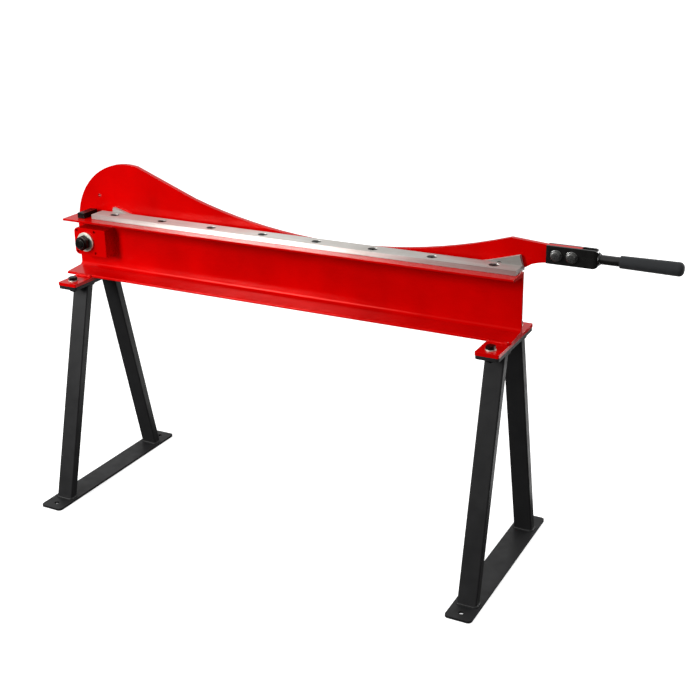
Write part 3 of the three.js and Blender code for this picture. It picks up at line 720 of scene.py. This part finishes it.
def leg(node, side):
    """A rectangular tube with rounded corners that leans in from its foot, on the front (-1)
    or the rear (1). Gives the middles of its foot and its top, and its width and depth."""
    low, middle, high = middle_of(node)
    width, height, square_depth = high.x - low.x, high.z - low.z, 20 * MM
    run = (high.y - low.y - square_depth) / height
    depth = square_depth * math.hypot(1, run)
    foot = Vector((middle.x, (high if side > 0 else low).y - side * depth / 2, low.z))
    top = Vector((middle.x, (low if side > 0 else high).y + side * depth / 2, high.z))
    bm = bmesh.new()
    bmesh.ops.create_cube(bm, size=1)
    bmesh.ops.scale(bm, vec=(width, depth, height), verts=bm.verts)
    upright = [e for e in bm.edges if abs(e.verts[0].co.z - e.verts[1].co.z) > MM]
    bmesh.ops.bevel(bm, geom=upright, offset=3.2 * MM, offset_type="OFFSET", segments=5,
                    profile=0.5, affect="EDGES", material=-1)
    lean = Matrix.Identity(4)
    lean[1][2] = (top.y - foot.y) / height
    bm.transform(Matrix.Translation((foot + top) / 2) @ lean)
    bmesh.ops.recalc_face_normals(bm, faces=bm.faces)
    finished(bm, f"{node}_tube", "frame", BLACK, [node])
    return foot, top, width, depth


def round_run(centre, width, depth, corner=4 * MM, step=0.7 * MM):
    """Points round a rectangle with rounded corners, level, for a bead."""
    route = []
    for number, (sx, sy) in enumerate(((1, 1), (-1, 1), (-1, -1), (1, -1))):
        pin = Vector((centre.x + sx * (width / 2 - corner), centre.y + sy * (depth / 2 - corner),
                      centre.z))
        for i in range(7):
            a = math.pi / 2 * (number + i / 6)
            point = pin + Vector((math.cos(a), math.sin(a), 0)) * corner
            if route and (point - route[-1]).length > 1.5 * step:
                route += straight_run(route[-1], point, step)[1:-1]
            route.append(point)
    route += straight_run(route[-1], route[0], step)[1:-1]
    return route


draw = random.Random(11)
for side in ("left", "right"):
    soften(f"{side}_foot_bar", 0.7 * MM, BLACK)
    soften(f"{side}_top_bar", 1.6 * MM, BLACK, 4)
    soften(f"{side}_mount_bar", 1.6 * MM, RED, 4)
    beads = bmesh.new()
    for place, sign in (("front", -1), ("rear", 1)):
        foot, top, width, depth = leg(f"{side}_{place}_leg", sign)
        foot.z -= 0.3 * MM
        top.z += 0.3 * MM
        bead(beads, round_run(foot, width, depth), (0, 0, 1), 3.4 * MM, closed=True)
        bead(beads, round_run(top, width, depth), (0, 0, 1), 4.4 * MM, closed=True)
        stand = f"{side}_{place}_stand"
        flat_washer(f"{stand}_washer", UP, "frame", 5.3 * MM, ZINC, 0.5 * MM)
        hex_bolt(f"{stand}_bolt", UP, "frame", 4.9 * MM, 6.4 * MM, 1.5 * MM, 14 * MM)
        hex_nut(f"{stand}_nut", UP, "frame", 5 * MM)
    bmesh.ops.recalc_face_normals(beads, faces=beads.faces)
    finished(beads, f"{side}_stand_weld_beads", "frame", BLACK, sharp=60)

# ---------------------------------------------------------------- studio
# A plain pale floor under soft light from all round, with a large softbox at the front left
# and a weaker one at the rear right, seen from the right front.

pale, shader, _ = new_finish("pale_floor")
shader.inputs["Base Color"].default_value = (0.9, 0.9, 0.9, 1)
shader.inputs["Roughness"].default_value = 0.9
shader.inputs["Specular IOR Level"].default_value = 0.1
shader.inputs["Emission Color"].default_value = (1, 1, 1, 1)
shader.inputs["Emission Strength"].default_value = 0.45
FLOOR_REACH, DOME_RADIUS = 300, 280
for name, front_y, rear_y in (("floor_front", -FLOOR_REACH, 0.3), ("floor_middle", 0.3, 1.15),
                              ("floor_rear", 1.15, FLOOR_REACH)):
    paper = bmesh.new()
    bmesh.ops.create_grid(paper, x_segments=1, y_segments=1, size=0.5)
    bmesh.ops.scale(paper, vec=(2 * FLOOR_REACH, rear_y - front_y, 1), verts=paper.verts)
    bmesh.ops.translate(paper, vec=(0, (front_y + rear_y) / 2, -0.4 * MM), verts=paper.verts)
    mesh = bpy.data.meshes.new(name)
    paper.to_mesh(mesh)
    paper.free()
    mesh.materials.append(pale)
    floor = bpy.data.objects.new(name, mesh)
    bpy.context.scene.collection.objects.link(floor)
    floor.visible_diffuse = False
    floor.visible_glossy = name == "floor_middle"

# A white dome closes the view all round. Only the camera sees it.
dome_mesh = bmesh.new()
bmesh.ops.create_icosphere(dome_mesh, subdivisions=4, radius=DOME_RADIUS)
mesh = bpy.data.meshes.new("backdrop_dome")
dome_mesh.to_mesh(mesh)
dome_mesh.free()
white, shader, _ = new_finish("white_backdrop")
shader.inputs["Emission Color"].default_value = (1, 1, 1, 1)
shader.inputs["Emission Strength"].default_value = 1.0
mesh.materials.append(white)
dome = bpy.data.objects.new("backdrop_dome", mesh)
bpy.context.scene.collection.objects.link(dome)
dome.visible_diffuse = False
dome.visible_glossy = False
dome.visible_shadow = False

# The air is bright overhead and falls off to dark below the table, as over a black cloth.
world = bpy.data.worlds.new("studio_air")
bpy.context.scene.world = world
world.use_nodes = True
air, air_links = world.node_tree.nodes, world.node_tree.links
direction = air.new("ShaderNodeTexCoord")
split = air.new("ShaderNodeSeparateXYZ")
height = air.new("ShaderNodeMapRange")
for socket, value in (("From Min", -0.05), ("From Max", 0.45), ("To Min", 0.06), ("To Max", 0.85)):
    height.inputs[socket].default_value = value
air_links.new(direction.outputs["Generated"], split.inputs["Vector"])
air_links.new(split.outputs["Z"], height.inputs["Value"])
air_links.new(height.outputs["Result"], air["Background"].inputs["Strength"])
air["Background"].inputs["Color"].default_value = (1, 1, 1, 1)


def softbox(name, place, aim, width, height, power):
    """An area light that faces a point."""
    light = bpy.data.lights.new(name, "AREA")
    light.shape = "RECTANGLE"
    light.size = width
    light.size_y = height
    light.energy = power
    lamp = bpy.data.objects.new(name, light)
    bpy.context.scene.collection.objects.link(lamp)
    lamp.location = place
    lamp.rotation_euler = (Vector(aim) - Vector(place)).to_track_quat("-Z", "Y").to_euler()


softbox("key_softbox", (-1.5, -2.1, 1.45), (-0.1, 0, 0.57), 0.7, 1.2, 62)
softbox("rear_softbox", (1.7, 2.7, 1.3), (0.2, 0, 0.4), 0.9, 1.0, 35)

yaw, pitch, roll = math.radians(27.56), math.radians(18.61), math.radians(-0.82)
lens = bpy.data.cameras.new("camera")
lens.lens = 60.91
lens.sensor_width = 36
lens.clip_end = 1000
lens.shift_y = -0.08
camera = bpy.data.objects.new("camera", lens)
bpy.context.scene.collection.objects.link(camera)
camera.matrix_world = (
    Matrix.Translation((bed_low.x + 1.7510, bed_high.y - 2.0326, 1.3010))
    @ Matrix.Rotation(yaw, 4, "Z")
    @ Matrix.Rotation(math.pi / 2 - pitch, 4, "X")
    @ Matrix.Rotation(roll, 4, "Z"))
bpy.context.scene.camera = camera
bpy.context.scene.view_settings.view_transform = "Standard"

bpy.context.view_layer.update()
